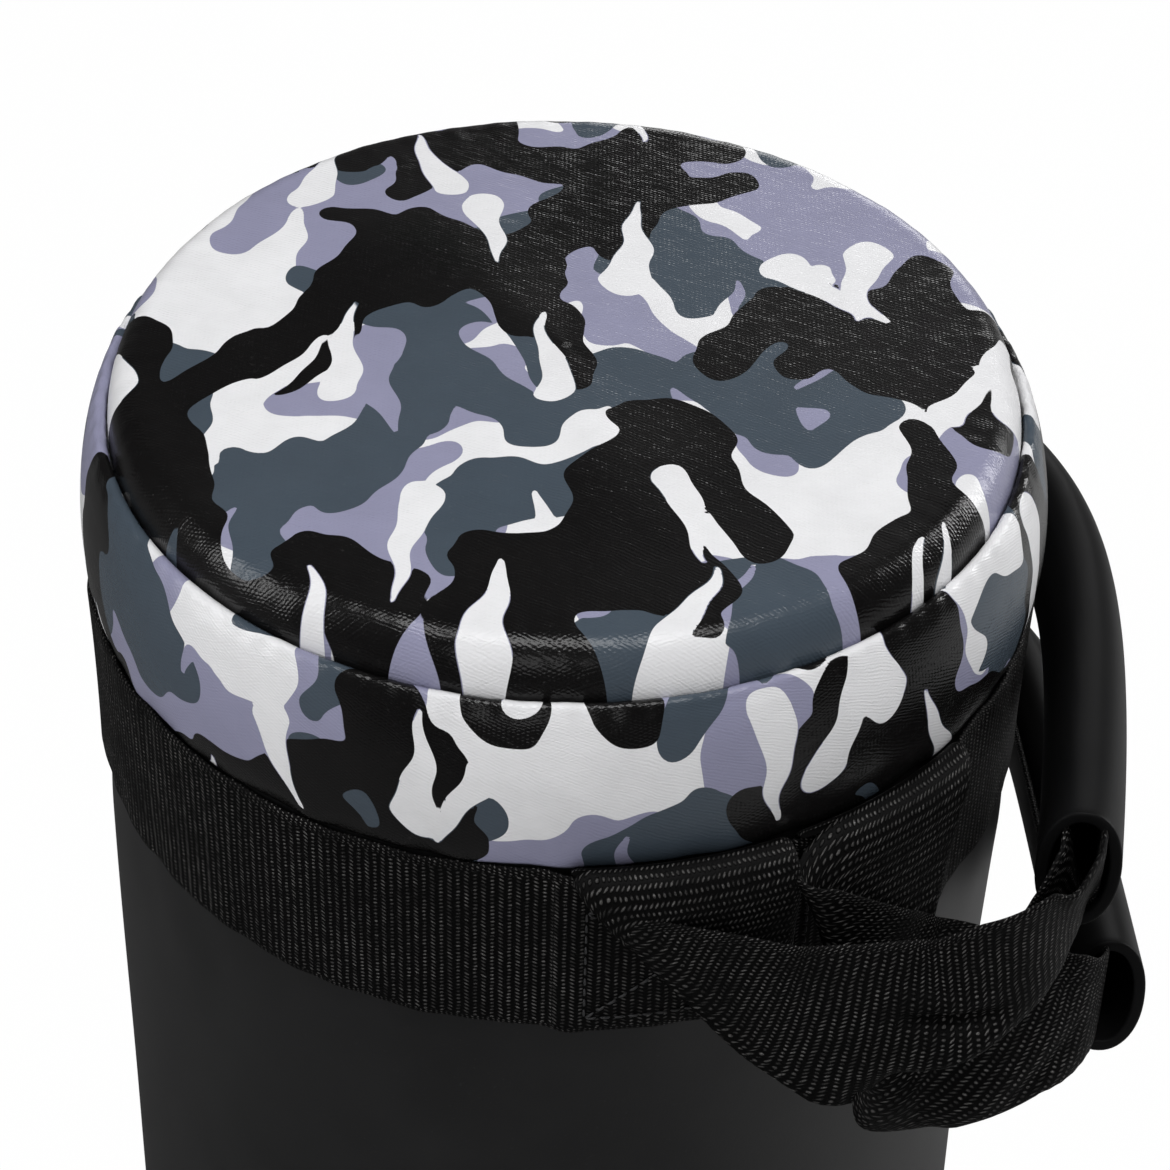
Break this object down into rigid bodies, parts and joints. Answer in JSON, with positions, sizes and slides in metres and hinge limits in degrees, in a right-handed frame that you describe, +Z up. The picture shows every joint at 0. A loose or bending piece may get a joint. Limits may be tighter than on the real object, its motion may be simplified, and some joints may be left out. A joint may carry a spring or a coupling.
{
  "type": "sandbag trainer",
  "caption": "Upright filled vinyl training bag with padded camouflage ends, webbing bands and strap handles in rubber hose grips.",
  "frame": {"origin": "middle of the flat bottom face, on the bag's axis, at floor height", "axes": "+Z up along the bag's axis; -Y towards the viewer in front; +X to the right, where the handles hang"},
  "size_m": [0.2622, 0.286, 0.6],
  "materials": {
    "camo_vinyl": "semi-gloss embossed vinyl printed in grey, lilac, white and black camouflage",
    "black_vinyl": "smooth semi-matt black vinyl",
    "black_webbing": "woven black webbing",
    "black_rubber": "matt black rubber hose",
    "black_thread": "bonded black thread",
    "grey_foam": "grey closed-cell foam",
    "woven_sack": "woven sack cloth, filled with sand",
    "nylon_tie": "plain nylon",
    "textile_wadding": "shredded textile wadding"
  },
  "bodies": {
    "bag": {"body_sleeve": "black_vinyl", "top_skirt": "camo_vinyl", "top_panel": "camo_vinyl", "bottom_skirt": "camo_vinyl", "bottom_panel": "camo_vinyl", "upper_band": "black_webbing", "lower_band": "black_webbing", "upper_handle_front_tab": "black_webbing", "upper_handle_back_tab": "black_webbing", "lower_handle_front_tab": "black_webbing", "lower_handle_back_tab": "black_webbing", "upper_handle_front_stitching": "black_thread", "upper_handle_back_stitching": "black_thread", "lower_handle_front_stitching": "black_thread", "lower_handle_back_stitching": "black_thread", "foam_lining": "grey_foam", "top_foam_pad": "grey_foam", "bottom_foam_pad": "grey_foam", "lower_sand_sack": "woven_sack", "upper_sand_sack": "woven_sack", "lower_sack_tie": "nylon_tie", "upper_sack_tie": "nylon_tie", "lower_wadding": "textile_wadding", "upper_wadding": "textile_wadding"},
    "upper_handle": {"upper_handle_strap": "black_webbing", "upper_handle_grip": "black_rubber"},
    "lower_handle": {"lower_handle_strap": "black_webbing", "lower_handle_grip": "black_rubber"}
  },
  "joints": [
    {"name": "upper_handle_swing", "type": "hinge", "parent": "bag", "child": "upper_handle", "pos_m": [-0.02304, -0.01156, 0.5398], "axis": [0.4485, -0.8938, 0], "range_deg": [0, 95]},
    {"name": "lower_handle_swing", "type": "hinge", "parent": "bag", "child": "lower_handle", "pos_m": [0.02304, 0.01156, 0.5398], "axis": [0.4485, -0.8938, 0], "range_deg": [0, 125]}
  ],
  "couplings": [
    {"joint": "lower_handle_swing", "follows": "upper_handle_swing", "ratio": 1.3}
  ]
}
